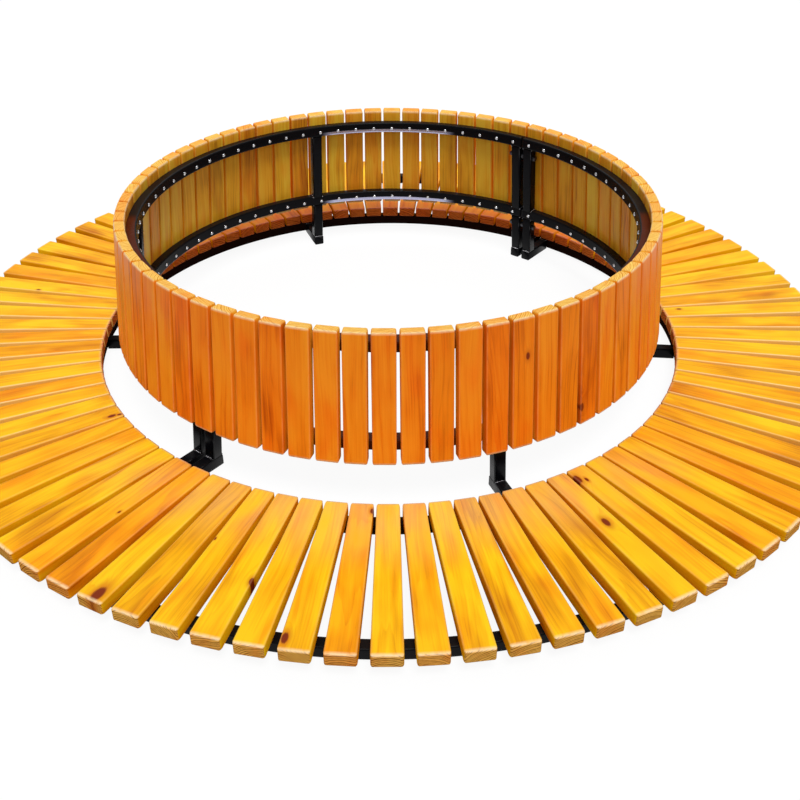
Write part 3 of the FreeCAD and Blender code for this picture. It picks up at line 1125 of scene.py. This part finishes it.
def boltProfile(gripHalf):
    shank = bolts["shank"] / 2
    flats, pitch = bolts["flats"], bolts["threadPitch"]
    start = -gripHalf - bolts["washerThickness"]
    top = start - bolts["headHeight"]
    profile = [(bolts["chamfer"] / 2, top, flats), (flats, top + bolts["headCrown"] * bolts["headHeight"], flats),
               (flats, start, flats), (shank, start)]
    threaded = bolts["nutHeight"] + bolts["tail"]
    end = gripHalf + bolts["washerThickness"] + threaded
    for left in range(round(threaded / pitch) - 1, 0, -1):
        profile.append((bolts["threadRoot"] * shank, end - left * pitch))
        profile.append((bolts["threadCrest"] * shank, end - left * pitch + pitch / 2))
    profile.append((bolts["threadEnd"] * shank, end))
    return profile


def nutProfile(start):
    bore, chamfer = bolts["nutBore"] / 2, bolts["chamfer"] / 2
    flats = bolts["flats"]
    end = start + bolts["nutHeight"]
    crown = bolts["nutCrown"] * bolts["nutHeight"]
    return [(bore, start), (chamfer, start, flats), (flats, start + crown, flats),
            (flats, end - crown, flats), (chamfer, end, flats), (bore, end)]


def sleeveProfile(start, diameter, length):
    hole, outside, bevel = bolts["hole"] / 2, diameter / 2, bolts["bevel"]
    end = start + length
    return [(hole, start), (outside - bevel, start), (outside, start + bevel),
            (outside, end - bevel), (outside - bevel, end), (hole, end)]


def makeBolts():
    size = bench["tube"]
    gripHalf = frames["pairGap"] / 2 + size
    middle = postInward((frames["pairGap"] + size) / 2) + size / 2
    thickness = bolts["washerThickness"]
    sets = {
        "bolts": [boltProfile(gripHalf)],
        "nuts": [nutProfile(gripHalf + thickness)],
        "washers": [sleeveProfile(start, bolts["washer"], thickness) for start in (-gripHalf - thickness, gripHalf)],
        "spacers": [sleeveProfile(-frames["pairGap"] / 2, bolts["spacer"], frames["pairGap"])],
    }
    for label, profiles in sets.items():
        shape = bmesh.new()
        for angle in (bench["jointAngle"], bench["jointAngle"] + 180):
            for drop in (rings["topDrop"], rings["lowDrop"]):
                place = backPoint(middle, drop + size + bolts["downPost"])
                matrix = Matrix.Rotation(math.radians(angle), 4, "Z") @ Matrix.Translation(place)
                matrix @= Matrix.Rotation(-math.pi / 2, 4, "X")
                for profile in profiles:
                    lathe(shape, profile, bolts["sides"], matrix, closed=label != "bolts")
        finishPiece(closePiece("joint_" + label + "_turned", shape, boltSteel), "bolt_steel", "joint_" + label)


makeBolts()
print("joints bolted")

# Weld beads: rows of small overlapping drops along the seams
welds = {
    "Drop Size": 0.0021,
    "Spacing": 0.0024,
    "Smallest": 0.75,
    "Largest": 1.15,
    "Seed": 5,
    "inset": 0.0035,
    "turnsApart": (1.7, 2.3),
}


def weldRows():
    tree, given, result = startShape("weldRows", {
        "Geometry": "Geometry", "Drop Size": "Float", "Spacing": "Float", "Smallest": "Float", "Largest": "Float",
        "Seed": "Int", "Material": "Material"})
    line = output(tree, "GeometryNodeMeshToCurve", {0: given["Geometry"]})
    line = output(tree, "GeometryNodeResampleCurve", {0: line, "Length": given["Spacing"]}, mode="LENGTH")
    drop = output(tree, "GeometryNodeMeshIcoSphere", {"Radius": given["Drop Size"], "Subdivisions": 2})
    scale = addNode(tree, "FunctionNodeRandomValue", {2: given["Smallest"], 3: given["Largest"], 8: given["Seed"]},
                    data_type="FLOAT").outputs[1]
    index = output(tree, "GeometryNodeInputIndex")
    x, y = (product(tree, index, apart) for apart in welds["turnsApart"])
    drops = output(tree, "GeometryNodeInstanceOnPoints", {
        "Points": line, "Instance": drop, "Scale": scale, "Rotation": turned(tree, x, y)})
    drops = output(tree, "GeometryNodeRealizeInstances", {0: drops})
    drops = output(tree, "GeometryNodeSetShadeSmooth", {0: drops})
    dress(tree, drops, given["Material"], result)
    return tree


def weldSeams():
    # start and end of each seam: the post on its arm and against both back rings, the seat rings on the arm
    size, inset = bench["tube"], welds["inset"]
    low, high = rings["lowDrop"], rings["topDrop"]
    inner = rings["innerSeatRadius"]
    seams = []
    for angle, side in framePlaces():
        turn = Matrix.Rotation(math.radians(angle), 4, "Z")
        outer = postInward(side)
        left, right = side - size / 2 + inset, side + size / 2 - inset
        ends = [(postFoot(inward, left), postFoot(inward, right)) for inward in (outer, outer + size)]
        for down in (high + size, low, low + size):
            for y in (left - inset, right + inset):
                ends.append((backPoint(outer + inset, down, y), backPoint(outer + size - inset, down, y)))
        for radius in (inner, inner + size, rings["outerSeatRadius"]):
            x = math.sqrt(radius ** 2 - max(abs(left), abs(right)) ** 2)
            ends.append((Vector((x, left, size)), Vector((x, right, size))))
        seams.extend((turn @ start, turn @ end) for start, end in ends)
    return seams


def makeWelds():
    points = [point for seam in weldSeams() for point in seam]
    base = bpy.data.meshes.new("seams")
    base.from_pydata(points, [(index, index + 1) for index in range(0, len(points), 2)], [])
    finishPiece(growPiece("weld_beads", weldRows(), dict(welds, Material=weldSteel), base), "black_tube")


makeWelds()
print("seams welded")
